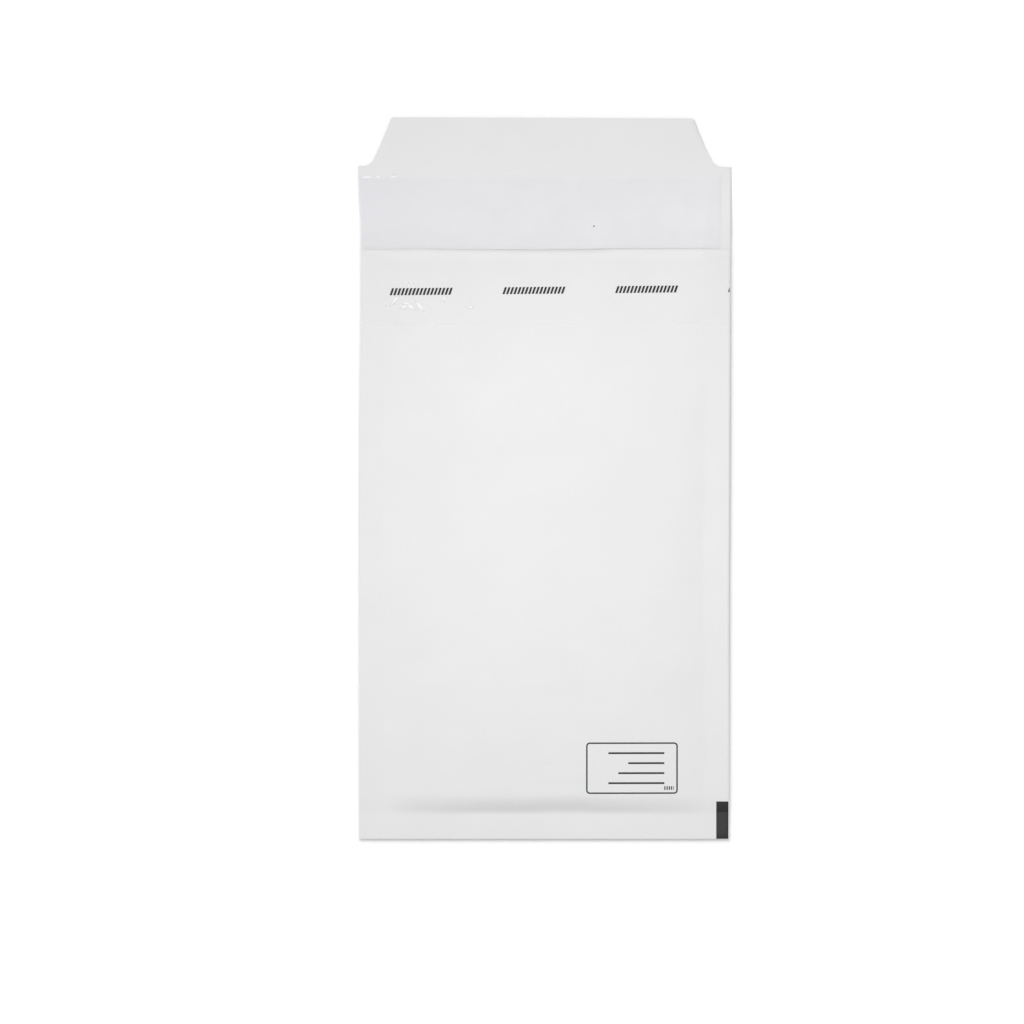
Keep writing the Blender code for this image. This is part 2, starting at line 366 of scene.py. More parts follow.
def flap_side(side):
    """The points of the flap's die-cut edge from the ledge up. side is 1 at +X and -1 at -X."""
    ledge_y = RIGHT_LEDGE_Y if side > 0 else SHOULDER_Y
    base = (side * FLAP_BASE_WIDTH / 2 + FLAP_CUT_OFFSET, ledge_y)
    top = (side * FLAP_TOP_WIDTH / 2 + FLAP_CUT_OFFSET, TOP_Y)
    shoulder = corner_arc((side * EDGE_X, ledge_y), base, top, SHOULDER_RADIUS, SHOULDER_POINTS)
    corner = corner_arc(base, top, (0.0, TOP_Y), FLAP_CORNER_RADIUS, FLAP_CORNER_POINTS)
    points = np.concatenate([shoulder, corner])
    # The inner end of the ledge lies a hair higher, so that the points stay in order of height.
    points[0, 1] += LEDGE_RISE
    return np.concatenate([[[side * EDGE_X, ledge_y]], points])


RIGHT_EDGE = flap_side(1)
LEFT_EDGE = flap_side(-1)


def even(low, high, cell):
    """Even stations from low to high, about cell apart."""
    return np.linspace(low, high, max(2, int(round((high - low) / cell)) + 1))


# Stations across and along, which the sheets and linings share so that their facets stay parallel.
# They lie closer by the cut edges.
STEPS = np.array(EDGE_STEPS)
INNER_X = EDGE_X - EDGE_STEPS[-1]
NEAR_EDGES = np.concatenate([STEPS - EDGE_X, EDGE_X - STEPS])


def thinned(stations):
    """The stations in order, without those that nearly coincide."""
    stations = np.unique(np.round(stations, 7))
    return stations[np.concatenate([[True], np.diff(stations) > LEAST_GAP])]


ACROSS = thinned(np.concatenate([even(-INNER_X, INNER_X, PAPER_CELL), NEAR_EDGES]))
INNER_ROWS = even(BOTTOM_Y + EDGE_STEPS[-1], MOUTH_Y - EDGE_STEPS[-1], PAPER_CELL)
BODY_ROWS = thinned(np.concatenate([BOTTOM_Y + STEPS, INNER_ROWS, MOUTH_Y - STEPS]))


def between(stations, low, high):
    """The stations inside low and high, with those two as the ends."""
    inside = stations[(stations > low + LEAST_END_GAP) & (stations < high - LEAST_END_GAP)]
    return np.concatenate([[low], inside, [high]])


def front_rows():
    """Rows of the front sheet: the body's, even ones on the flap, and one at each point of its cut edge."""
    flap_rows = even(MOUTH_Y, TOP_Y, PAPER_CELL)
    return thinned(np.concatenate([BODY_ROWS, flap_rows, RIGHT_EDGE[:, 1], LEFT_EDGE[:, 1]]))


# Meshes


def link(name, mesh, material):
    obj = bpy.data.objects.new(name, mesh)
    bpy.context.scene.collection.objects.link(obj)
    for item in material if isinstance(material, tuple) else (material,):
        mesh.materials.append(item)
    mesh.shade_smooth()
    mesh.set_sharp_from_angle(angle=math.radians(SHARP_DEGREES))
    return obj


def sheet_arrays(x, y, low, thickness):
    """Points and faces of a closed thin sheet over the grid x, y, and 1 for each face of its upper side."""
    rows, columns = x.shape
    points = np.concatenate(
        [
            np.stack([x, y, low], axis=2).reshape(-1, 3),
            np.stack([x, y, low + thickness], axis=2).reshape(-1, 3),
        ]
    )
    under = np.arange(rows * columns).reshape(rows, columns)
    over = under + rows * columns

    def quads(a, b, c, d):
        return np.stack([part.reshape(-1) for part in (a, b, c, d)], axis=1)

    top = quads(over[:-1, :-1], over[:-1, 1:], over[1:, 1:], over[1:, :-1])
    bottom = quads(under[:-1, :-1], under[1:, :-1], under[1:, 1:], under[:-1, 1:])
    front = quads(under[0, :-1], under[0, 1:], over[0, 1:], over[0, :-1])
    right = quads(under[:-1, -1], under[1:, -1], over[1:, -1], over[:-1, -1])
    back = quads(under[-1, 1:], under[-1, :-1], over[-1, :-1], over[-1, 1:])
    left = quads(under[1:, 0], under[:-1, 0], over[:-1, 0], over[1:, 0])
    faces = np.concatenate([top, bottom, front, right, back, left])
    upper = np.zeros(len(faces), np.int32)
    upper[: len(top)] = 1
    return points, faces, upper


# How far the left and the right edge wander from straight lines: place along y, and shift along x
LEFT_WANDER = (
    (-0.136, 0.0002),
    (0.020, 0.0006),
    (0.067, 0.0010),
    (0.090, 0.0009),
    (0.097, 0.0008),
    (0.105, 0.0002),
    (0.113, -0.0001),
    (0.1175, -0.0002),
    (0.120, 0.0),
    (0.123, 0.0002),
    (0.131, 0.0003),
    (0.1355, 0.0001),
)
RIGHT_WANDER = (
    (-0.136, -0.00025),
    (-0.046, -0.00035),
    (-0.008, -0.00015),
    (0.030, 0.0),
    (0.067, 0.0001),
    (0.082, 0.0001),
    (0.095, 0.0005),
    (0.105, 0.0006),
    (0.112, 0.0007),
    (0.1172, 0.0006),
    (0.120, 0.0),
    (0.131, -0.0002),
    (0.1355, 0.0),
)
# The flap's top edge tilts by this slope and lies this much lower
FLAP_TILT = -0.0042
FLAP_DROP = 0.00015


def settle(points):
    """The mailer's outline isn't exactly straight: this moves points sideways, the same in every layer."""
    x, y = points[:, 0].copy(), points[:, 1].copy()
    left = np.interp(y, *np.array(LEFT_WANDER).T)
    right = np.interp(y, *np.array(RIGHT_WANDER).T)
    share = np.clip((x + EDGE_X) / (2 * EDGE_X), 0.0, 1.0)
    points[:, 0] = x + left * (1.0 - share) + right * share
    points[:, 1] = y + (FLAP_TILT * x - FLAP_DROP) * smooth((y - SHOULDER_Y) / (TOP_Y - SHOULDER_Y))
    return points


def make_mesh(name, points, faces):
    mesh = bpy.data.meshes.new(name)
    mesh.from_pydata(points.tolist(), [], faces.tolist())
    mesh.update()
    return mesh


def make_sheet(name, xs, ys, height, thickness, material, shift=None):
    """A closed thin sheet over a grid. Of a pair of materials, the second goes on its upper side."""
    x, y = np.meshgrid(xs, ys)
    low = height(x, y)
    if shift is not None:
        y = y + shift(x, y)
    points, faces, upper = sheet_arrays(x, y, low, thickness)
    mesh = make_mesh(name, settle(points), faces)
    if isinstance(material, tuple):
        mesh.polygons.foreach_set("material_index", upper)
    return link(name, mesh, material)


def make_front(name, material):
    """The front sheet: its outer columns follow the flap's outline, and the inner ones end there."""
    ys = front_rows()
    right = np.interp(ys, RIGHT_EDGE[:, 1], RIGHT_EDGE[:, 0])[:, None]
    left = np.interp(ys, LEFT_EDGE[:, 1], LEFT_EDGE[:, 0])[:, None]
    inner = even(-INNER_X, INNER_X, PAPER_CELL)[None, :]
    inner = np.clip(inner, left + EDGE_STEPS[-1], right - EDGE_STEPS[-1])
    near = STEPS[None, :-1]
    x = np.concatenate([left + near, inner, right - near[:, ::-1]], axis=1)
    y = np.broadcast_to(ys[:, None], x.shape).copy()
    points, faces, _ = sheet_arrays(x, y, front_height(x, y), PAPER)
    mesh = make_mesh(name, settle(points), faces)
    bm = bmesh.new()
    bm.from_mesh(mesh)
    bmesh.ops.remove_doubles(bm, verts=bm.verts[:], dist=MERGE_DISTANCE)
    bm.to_mesh(mesh)
    bm.free()
    return link(name, mesh, material)


def bubble_places():
    """Centres and heights of the bubbles in staggered rows, as far as no seal or mouth crushes them."""
    high = FILM_HIGH.y - BUBBLE_RADIUS - BUBBLE_MARGIN
    rows = int((high - BOTTOM_Y) / ROW_PITCH)
    columns = int(EDGE_X / BUBBLE_PITCH) + 1
    places = []
    for row in range(rows):
        cy = high - row * ROW_PITCH
        offset = BUBBLE_PITCH / 2 * (row % 2)
        for column in range(-columns, columns + 1):
            cx = column * BUBBLE_PITCH + offset
            height = float(space_between_films(np.array(cx), np.array(cy)) - POCKET_GAP) / 2
            if abs(cx) < EDGE_X - SIDE_SEAL and height > LEAST_BUBBLE:
                places.append((cx, cy, height))
    return places


def make_lining(name, web_height, direction, material):
    """A web with domed bubbles that point up (1) or down (-1)."""
    x, y = np.meshgrid(between(ACROSS, FILM_LOW.x, FILM_HIGH.x), between(BODY_ROWS, FILM_LOW.y, FILM_HIGH.y))
    points, faces, _ = sheet_arrays(x, y, web_height(x, y), FILM)
    all_points = [points]
    all_faces = [faces.tolist()]
    total = len(points)
    turn = np.arange(BUBBLE_SEGMENTS) * 2 * math.pi / BUBBLE_SEGMENTS
    # The dome leaves the web steeply and is nearly flat on top.
    climb = np.linspace(0.0, math.pi / 2, BUBBLE_RINGS + 1)[:-1]
    spread = np.cos(climb) ** DOME_POWER
    rise = np.sin(climb) ** DOME_POWER
    for cx, cy, height in bubble_places():
        bx = cx + BUBBLE_RADIUS * spread[:, None] * np.cos(turn)[None, :]
        by = cy + BUBBLE_RADIUS * spread[:, None] * np.sin(turn)[None, :]
        web = web_height(bx, by) + FILM / 2
        room = np.maximum((space_between_films(bx, by) - POCKET_GAP) / 2, 0.0)
        bz = web + direction * np.minimum((FILM / 2 + height) * rise[:, None], FILM / 2 + room)
        ring_points = np.stack([bx, by, bz], axis=2).reshape(-1, 3)
        centre_z = float(web_height(np.array(cx), np.array(cy))) + FILM / 2
        tip = [[cx, cy, centre_z + direction * (FILM / 2 + height)], [cx, cy, centre_z]]
        all_points.append(np.concatenate([ring_points, tip]))
        tip_index = total + BUBBLE_SEGMENTS * BUBBLE_RINGS
        # A dome that points down has its faces turned round.
        dome = []
        for i in range(BUBBLE_SEGMENTS):
            j = (i + 1) % BUBBLE_SEGMENTS
            for r in range(BUBBLE_RINGS - 1):
                a = total + r * BUBBLE_SEGMENTS
                b = a + BUBBLE_SEGMENTS
                dome.append([a + i, a + j, b + j, b + i][::direction])
            last = total + (BUBBLE_RINGS - 1) * BUBBLE_SEGMENTS
            dome.append([last + i, last + j, tip_index][::direction])
            dome.append([total + j, total + i, tip_index + 1][::direction])
        all_faces.append(dome)
        total += len(ring_points) + 2
    mesh = bpy.data.meshes.new(name)
    points = settle(np.concatenate(all_points))
    mesh.from_pydata(points.tolist(), [], [f for part in all_faces for f in part])
    mesh.update()
    return link(name, mesh, material)


# Glue, liner and tape

LINER_REST = 0.00001
LINER_PRESS = 0.0012
LINER_CREEP = 0.00015
LINER_WANDER_REACH = 0.010
# The cockle grows to its full height over these lengths: from the right edge, and from the others
COCKLE_START_RIGHT = 0.008
COCKLE_START = 0.006


def glue_height(x, y):
    return front_height(x, y) + PAPER + GLUE_GAP / 2


def liner_height(x, y):
    """The liner lies on the glue, its edges pressed down to the paper: inside them it cockles a little."""
    from_side = np.minimum(x - LINER_LOW.x, LINER_HIGH.x - x)
    from_end = np.minimum(y - LINER_LOW.y, LINER_HIGH.y - y)
    on_glue = smooth(np.minimum(from_side, from_end) / LINER_PRESS)
    base = front_height(x, y) + PAPER + LINER_REST + (2 * GLUE_GAP + STRIP - LINER_REST) * on_glue
    inside = smooth((LINER_HIGH.x - x) / COCKLE_START_RIGHT) * smooth((LINER_HIGH.y - y) / COCKLE_START)
    inside = inside * smooth((x - LINER_LOW.x) / COCKLE_START)
    cockle = LINER_COCKLE[0] + relief(x, y, LINER_COCKLE) + relief(x, y, LINER_FINE_COCKLE)
    return base + cockle * inside


def liner_shift(x, y):
    """The liner's lower edge follows the mouth's wavy one closely."""
    near = smooth((LINER_LOW.y + LINER_WANDER_REACH - y) / LINER_WANDER_REACH)
    return near * (along_mouth(x, MOUTH_SHIFT) - LINER_CREEP)


# Small ridges where the tape has come off the paper, whose shapes also make the tape whitish there, partly
# with painted glints: centre, direction in degrees, half length, half width
CRINKLES = (
    (at_pixel(395.2, 299.8), 50, 0.0030, 0.00085),
    (at_pixel(419.5, 305.8), -50, 0.0031, 0.00095),
    (at_pixel(411.0, 306.6), -35, 0.0024, 0.00120),
    (at_pixel(404.3, 306.8), 18, 0.0018, 0.00085),
    (at_pixel(406.5, 303.4), 8, 0.0019, 0.00065),
    (at_pixel(386.0, 302.4), 88, 0.0016, 0.00040),
    (at_pixel(408.6, 285.4), 80, 0.0011, 0.00035),
    (at_pixel(413.0, 286.0), 80, 0.0013, 0.00040),
    (at_pixel(441.4, 284.6), 60, 0.0006, 0.00035),
    (at_pixel(444.6, 298.6), 75, 0.0013, 0.00050),
    (at_pixel(470.2, 307.6), 8, 0.0012, 0.00060),
)
CRINKLE_HEIGHT = 0.00001
# Painted highlights: near-white glints along the liner's upper edge, at its left end
PAINTED_GLINTS = (
    (at_pixel(366.8, 176.9), 0, 0.0022, 0.00040),
    (at_pixel(378.0, 176.8), 0, 0.0009, 0.00035),
    (at_pixel(393.6, 176.5), 0, 0.0014, 0.00030),
)
# A painted shadow on the flap beside them: a short dark dash by the liner's edge
PAINTED_SHADOW_DASHES = ((at_pixel(393.9, 174.4), 0, 0.0015, 0.00030),)


def crinkle(x, y):
    """Height of the small ridges in the tape."""
    total = 0.0 * x
    for (cx, cy), turn, length, width in CRINKLES:
        c, s = math.cos(math.radians(turn)), math.sin(math.radians(turn))
        u = ((x - cx) * c + (y - cy) * s) / length
        v = ((y - cy) * c - (x - cx) * s) / width
        total = np.maximum(total, CRINKLE_HEIGHT * np.clip(1.0 - u * u - v * v, 0.0, 1.0) ** 2)
    return total


def tape_height(x, y):
    """The tape lies on the back panel and follows it."""
    return back_height(x, y) + PAPER + TAPE_GAP + crinkle(x, y)


# Materials


class Nodes:
    """Short ways to chain shader nodes on one material."""

    def __init__(self, name):
        self.material = bpy.data.materials.new(name)
        self.material.use_nodes = True
        self.tree = self.material.node_tree
        self.shader = self.tree.nodes["Principled BSDF"]
        position = self.tree.nodes.new("ShaderNodeTexCoord")
        split = self.tree.nodes.new("ShaderNodeSeparateXYZ")
        self.tree.links.new(position.outputs["Object"], split.inputs[0])
        self.position = position.outputs["Object"]
        self.x = split.outputs["X"]
        self.y = split.outputs["Y"]

    def put(self, socket, value):
        if isinstance(value, bpy.types.NodeSocket):
            self.tree.links.new(value, socket)
        else:
            socket.default_value = value

    def math(self, operation, *values):
        node = self.tree.nodes.new("ShaderNodeMath")
        node.operation = operation
        for socket, value in zip(node.inputs, values):
            self.put(socket, value)
        return node.outputs[0]

    def noise(self, size, detail=3.0, stretch=(1.0, 1.0)):
        """Noise from 0 to 1 whose lumps are about size metres."""
        mapping = self.tree.nodes.new("ShaderNodeMapping")
        self.tree.links.new(self.position, mapping.inputs["Vector"])
        mapping.inputs["Scale"].default_value = (stretch[0] / size, stretch[1] / size, 1.0 / size)
        node = self.tree.nodes.new("ShaderNodeTexNoise")
        node.inputs["Scale"].default_value = 1.0
        node.inputs["Detail"].default_value = detail
        self.tree.links.new(mapping.outputs[0], node.inputs["Vector"])
        return node.outputs["Fac"]

    def between(self, value, low, high):
        """1 where value lies from low to high."""
        above = self.math("GREATER_THAN", value, low)
        below = self.math("LESS_THAN", value, high)
        return self.math("MULTIPLY", above, below)

    def blend(self, factor, first, second):
        node = self.tree.nodes.new("ShaderNodeMix")
        node.data_type = "RGBA"
        self.put(node.inputs["Factor"], factor)
        self.put(node.inputs["A"], first)
        self.put(node.inputs["B"], second)
        return node.outputs["Result"]

    def scale_range(self, value, low, high, source=(0.3, 0.7)):
        node = self.tree.nodes.new("ShaderNodeMapRange")
        self.put(node.inputs["Value"], value)
        node.inputs["From Min"].default_value = source[0]
        node.inputs["From Max"].default_value = source[1]
        node.inputs["To Min"].default_value = low
        node.inputs["To Max"].default_value = high
        return node.outputs["Result"]

    def streaks(self, places):
        """1 in the middle of each of the slender ovals, 0 outside them."""
        total = None
        for (cx, cy), turn, length, width in places:
            c, s = math.cos(math.radians(turn)), math.sin(math.radians(turn))
            dx = self.math("SUBTRACT", self.x, cx)
            dy = self.math("SUBTRACT", self.y, cy)
            u = self.math("ADD", self.math("MULTIPLY", dx, c / length), self.math("MULTIPLY", dy, s / length))
            v = self.math("ADD", self.math("MULTIPLY", dy, c / width), self.math("MULTIPLY", dx, -s / width))
            square = self.math("ADD", self.math("MULTIPLY", u, u), self.math("MULTIPLY", v, v))
            near = self.math("SUBTRACT", 1.0, self.math("MINIMUM", square, 1.0))
            total = near if total is None else self.math("MAXIMUM", total, near)
        return total

    def bump(self, height, distance, strength=1.0, below=None):
        node = self.tree.nodes.new("ShaderNodeBump")
        node.inputs["Strength"].default_value = strength
        node.inputs["Distance"].default_value = distance
        self.put(node.inputs["Height"], height)
        if below is not None:
            self.tree.links.new(below, node.inputs["Normal"])
        return node.outputs["Normal"]

    def set(self, name, value):
        self.put(self.shader.inputs[name], value)


def grey(level, blue=0.0):
    """A linear colour from an sRGB level out of 255, with a little more blue."""
    def linear(v):
        v = v / 255
        return v / 12.92 if v <= 0.04045 else ((v + 0.055) / 1.055) ** 2.4

    return (linear(level), linear(level), linear(level + blue), 1.0)


PAPER_LIGHT = grey(231.5, 0.6)
PAPER_DARK = grey(229.5, 0.9)
# Painted shadow: the tone of a short dark dash on the flap by the liner's edge
PAINTED_SHADOW_TONE = grey(219)
INK = grey(44)
# The ink's tone on flat places, a darker tone for its painted shade, and how far that painted shade reaches
# from the bottom and right cut edges
INK_FLAT = grey(53)
INK_SHADED = grey(31)
INK_END_SHADE = 0.0028
INK_SIDE_SHADE = 0.0014
LINER_LIGHT = grey(229, 3.0)
LINER_DARK = grey(225, 3.4)
LINER_SHADE = (-0.062, -0.020)
# Painted highlight: the near-white of the liner's glints
PAINTED_GLINT_TONE = (0.93, 0.93, 0.93, 1.0)
SPECK_TONE = grey(120)
GLUE_LIGHT = (0.80, 0.78, 0.70, 1.0)
GLUE_DARK = (0.74, 0.72, 0.64, 1.0)
FILM_CLEAR = (0.83, 0.86, 0.88, 1.0)
FILM_HAZY = (0.90, 0.92, 0.93, 1.0)
# The tape's near-white, shown in its crinkles, partly as painted glints
TAPE_TONE = (0.97, 0.97, 0.98, 1.0)


def ink_colour(nodes):
    """Painted shade in the print: the ink is darker on the slope above the bottom seal and by the bottom and
    right cut edges.
    """
    crease = BOTTOM_Y + BOTTOM_SEAL
    above = nodes.math("GREATER_THAN", nodes.y, crease)
    painted_shade = nodes.math("MULTIPLY", above, nodes.scale_range(nodes.y, 1.0, 0.45, (crease, REGISTER_HIGH[1])))
    shade_by_end = nodes.scale_range(nodes.y, 0.9, 0.0, (BOTTOM_Y, BOTTOM_Y + INK_END_SHADE))
    shade_by_side = nodes.scale_range(nodes.x, 0.0, 0.6, (REGISTER_HIGH[0] - INK_SIDE_SHADE, REGISTER_HIGH[0]))
    painted_shade = nodes.math("MAXIMUM", painted_shade, nodes.math("MAXIMUM", shade_by_end, shade_by_side))
    grain = nodes.scale_range(nodes.noise(0.003, 3.0), -0.06, 0.06)
    return nodes.blend(nodes.math("ADD", painted_shade, grain), INK_FLAT, INK_SHADED)


def dress_paper(nodes, ink=None):
    """Smooth white paper with fine fibres, and with print where ink is 1, whose ink has painted shade; paper
    without print has a short dash of painted shadow by the liner's edge.
    """
    cloud = nodes.noise(0.020, 4.0)
    fibre = nodes.noise(0.0009, 3.0, stretch=(0.45, 1.0))
    colour = nodes.blend(nodes.scale_range(cloud, 0.0, 1.0), PAPER_LIGHT, PAPER_DARK)
    if ink is None:
        # Painted shadow: a short dark dash on the flap by the liner's edge
        colour = nodes.blend(nodes.streaks(PAINTED_SHADOW_DASHES), colour, PAINTED_SHADOW_TONE)
    else:
        colour = nodes.blend(ink, colour, ink_colour(nodes))
    nodes.set("Base Color", colour)
    nodes.set("Roughness", nodes.scale_range(fibre, 0.50, 0.62))
    nodes.set("Specular IOR Level", 0.35)
    nodes.set("Normal", nodes.bump(fibre, 0.00004, 0.35))


def rounded_box_line(nodes, low, high, radius, width):
    """1 on the line of a rounded box between the corners low and high."""
    centre = [(low[i] + high[i]) / 2 for i in range(2)]
    half = [(high[i] - low[i]) / 2 - radius for i in range(2)]
    over = []
    for value, c, h in ((nodes.x, centre[0], half[0]), (nodes.y, centre[1], half[1])):
        away = nodes.math("ABSOLUTE", nodes.math("SUBTRACT", value, c))
        over.append(nodes.math("SUBTRACT", away, h))
    outside = [nodes.math("MAXIMUM", part, 0.0) for part in over]
    squares = [nodes.math("MULTIPLY", part, part) for part in outside]
    far = nodes.math("SQRT", nodes.math("ADD", *squares))
    near = nodes.math("MINIMUM", nodes.math("MAXIMUM", *over), 0.0)
    distance = nodes.math("SUBTRACT", nodes.math("ADD", far, near), radius)
    return nodes.math("LESS_THAN", nodes.math("ABSOLUTE", distance), width / 2)


def filled_box(nodes, low, high):
    across = nodes.between(nodes.x, low[0], high[0])
    along = nodes.between(nodes.y, low[1], high[1])
    return nodes.math("MULTIPLY", across, along)


# Marks printed on the back panel, as plain shapes: the register mark runs past the bottom edge
REGISTER_OVERRUN = 0.0002
REGISTER_LOW = (at_pixel(716.3, 839)[0], BOTTOM_Y - REGISTER_OVERRUN)
REGISTER_HIGH = at_pixel(728.5, 801.5)
LABEL_WIDTH = 0.034
LABEL_HIGH = at_pixel(677, 743)
LABEL_LOW = (LABEL_HIGH[0] - LABEL_WIDTH, at_pixel(677, 793)[1])
LABEL_RADIUS = 0.0011
LABEL_LINE = 0.00056
BAR_COUNT = 4
BAR_INSET = 0.0048
BAR_THICKNESS = 0.0007
BAR_SHARES = (0.62, 0.51, 0.40)
SMALL_DASH_PITCH = 0.00085
SMALL_DASH_SHARE = 0.55
SMALL_DASH_HEIGHT = 0.0014
SMALL_DASH_INSET = 0.0012


def panel_ink(nodes):
    """The register mark by the edge, and a rounded frame with plain bars and a row of small dashes in it."""
    ink = filled_box(nodes, REGISTER_LOW, REGISTER_HIGH)
    ink = nodes.math("MAXIMUM", ink, rounded_box_line(nodes, LABEL_LOW, LABEL_HIGH, LABEL_RADIUS, LABEL_LINE))
    step = (LABEL_HIGH[1] - LABEL_LOW[1]) / (BAR_COUNT + 1)
    for i in range(BAR_COUNT):
        y = LABEL_LOW[1] + step * (i + 1)
        length = LABEL_WIDTH * BAR_SHARES[i % len(BAR_SHARES)]
        low = (LABEL_HIGH[0] - BAR_INSET - length, y - BAR_THICKNESS / 2)
        bar = filled_box(nodes, low, (LABEL_HIGH[0] - BAR_INSET, y + BAR_THICKNESS / 2))
        ink = nodes.math("MAXIMUM", ink, bar)
    low = (LABEL_HIGH[0] - BAR_INSET, LABEL_LOW[1] + SMALL_DASH_INSET)
    row = filled_box(nodes, low, (LABEL_HIGH[0] - SMALL_DASH_INSET, low[1] + SMALL_DASH_HEIGHT))
    along = nodes.math("MODULO", nodes.math("SUBTRACT", nodes.x, low[0]), SMALL_DASH_PITCH)
    in_dash = nodes.math("LESS_THAN", along, SMALL_DASH_PITCH * SMALL_DASH_SHARE)
    dashes = nodes.math("MULTIPLY", row, in_dash)
    return nodes.math("MAXIMUM", ink, dashes)


# Marks printed on the tape
MARK_PITCH = 112.4 * METRES_PER_PIXEL
MARK_LENGTH = 60.5 * METRES_PER_PIXEL
MARK_START = at_pixel(503.6, 290.6)
MARK_HEIGHT = 0.0026
DASH_COUNT = 17
DASH_WIDTH = 0.00080
DASH_PITCH = (MARK_LENGTH - DASH_WIDTH) / (DASH_COUNT - 1)
DASH_SLANT = 0.35
MARK_TILT = 0.0098
MARKS_BEFORE = 8


def tape_ink(nodes):
    """Groups of short slanted dashes, repeated along the tape."""
    along = nodes.math("SUBTRACT", nodes.x, MARK_START[0] - MARKS_BEFORE * MARK_PITCH)
    above = nodes.math("SUBTRACT", nodes.y, MARK_START[1])
    leaning = nodes.math("ADD", along, nodes.math("MULTIPLY", above, -DASH_SLANT))
    in_mark = nodes.math("MODULO", leaning, MARK_PITCH)
    in_group = nodes.math("LESS_THAN", in_mark, MARK_LENGTH)
    in_dash = nodes.math("LESS_THAN", nodes.math("MODULO", in_mark, DASH_PITCH), DASH_WIDTH)
    tilted = nodes.math("SUBTRACT", nodes.y, nodes.math("MULTIPLY", nodes.x, MARK_TILT))
    middle = MARK_START[1] - MARK_START[0] * MARK_TILT
    in_line = nodes.between(tilted, middle - MARK_HEIGHT / 2, middle + MARK_HEIGHT / 2)
    return nodes.math("MULTIPLY", nodes.math("MULTIPLY", in_group, in_dash), in_line)


def paper_material(name):
    nodes = Nodes(name)
    dress_paper(nodes)
    return nodes.material


def printed_paper_material(name):
    nodes = Nodes(name)
    dress_paper(nodes, panel_ink(nodes))
    return nodes.material


SPECK = at_pixel(594, 226)
SPECK_RADIUS = 0.00032


def liner_material():
    nodes = Nodes("liner_satin")
    cloud = nodes.noise(0.012, 4.0)
    by_left = nodes.scale_range(nodes.x, 1.0, 0.0, LINER_SHADE)
    darker = nodes.math("MAXIMUM", nodes.scale_range(cloud, 0.0, 0.8), by_left)
    colour = nodes.blend(darker, LINER_LIGHT, LINER_DARK)
    away_x = nodes.math("SUBTRACT", nodes.x, SPECK[0])
    away_y = nodes.math("SUBTRACT", nodes.y, SPECK[1])
    squares = [nodes.math("MULTIPLY", part, part) for part in (away_x, away_y)]
    speck = nodes.math("LESS_THAN", nodes.math("SQRT", nodes.math("ADD", *squares)), SPECK_RADIUS)
    colour = nodes.blend(speck, colour, SPECK_TONE)
    # Painted highlight: near-white glints in the liner's colour along its upper edge
    nodes.set("Base Color", nodes.blend(nodes.streaks(PAINTED_GLINTS), colour, PAINTED_GLINT_TONE))
    nodes.set("Roughness", nodes.scale_range(nodes.noise(0.005, 3.0), 0.42, 0.54))
    nodes.set("Specular IOR Level", 0.4)
    fine = nodes.bump(nodes.noise(0.0012, 3.0), 0.00002, 0.25)
    nodes.set("Normal", nodes.bump(nodes.noise(0.006, 2.0, stretch=(0.6, 1.0)), 0.00006, 0.3, below=fine))
    return nodes.material


def glue_material():
    nodes = Nodes("glue_film")
    nodes.set("Base Color", nodes.blend(nodes.noise(0.004, 3.0), GLUE_LIGHT, GLUE_DARK))
    nodes.set("Roughness", nodes.scale_range(nodes.noise(0.002, 3.0), 0.28, 0.45))
    nodes.set("Normal", nodes.bump(nodes.noise(0.0015, 3.0), 0.00005, 0.4))
    return nodes.material


def film_material():
    nodes = Nodes("bubble_film_clear")
    haze = nodes.noise(0.006, 4.0)
    nodes.set("Base Color", nodes.blend(haze, FILM_CLEAR, FILM_HAZY))
    nodes.set("Roughness", nodes.scale_range(haze, 0.10, 0.24))
    nodes.set("Alpha", nodes.scale_range(haze, 0.42, 0.60))
    nodes.set("Specular IOR Level", 0.6)
    nodes.set("Normal", nodes.bump(nodes.noise(0.0022, 3.0), 0.00008, 0.35))
    return nodes.material


def tape_material():
    """Clear and glossy, but whitish in its crinkles, where lifted tape turns white and glints are painted,
    and dark and matt in its print.
    """
    nodes = Nodes("tape_clear")
    ink = tape_ink(nodes)
    # Painted highlight in part: the crinkles turn near-white and nearly opaque, as lifted tape whitens and as
    # painted glints
    grain = nodes.scale_range(nodes.noise(0.0009, 2.0), 0.75, 1.0)
    lift_whitening_and_glint = nodes.math("MULTIPLY", nodes.streaks(CRINKLES), grain)
    opaque = nodes.scale_range(lift_whitening_and_glint, 0.04, 0.95, (0.0, 0.8))
    nodes.set("Base Color", nodes.blend(ink, TAPE_TONE, INK))
    nodes.set("Alpha", nodes.math("MAXIMUM", opaque, nodes.math("MULTIPLY", ink, 0.93)))
    gloss = nodes.scale_range(nodes.noise(0.004, 2.0), 0.10, 0.18)
    nodes.set("Roughness", nodes.math("ADD", gloss, nodes.math("MULTIPLY", ink, 0.35)))
    nodes.set("Specular IOR Level", 0.25)
    return nodes.material


# Each share is what a light gives to a level white surface under it, where 1 is pure white.
KEY_AZIMUTH = 22
KEY_ELEVATION = 58
KEY_ANGLE = 50
KEY_SHARE = 0.45
POOL_SHARE = 0.20
POOL_HEIGHT = 0.22
POOL_SIZE = 0.10
POOL_PLACE = at_pixel(562, 475)
FILL_SHARE = 0.398
FLOOR_LEVEL = 1.01
FLOOR_TONE = 0.94
FLOOR_MOTTLE = 0.002


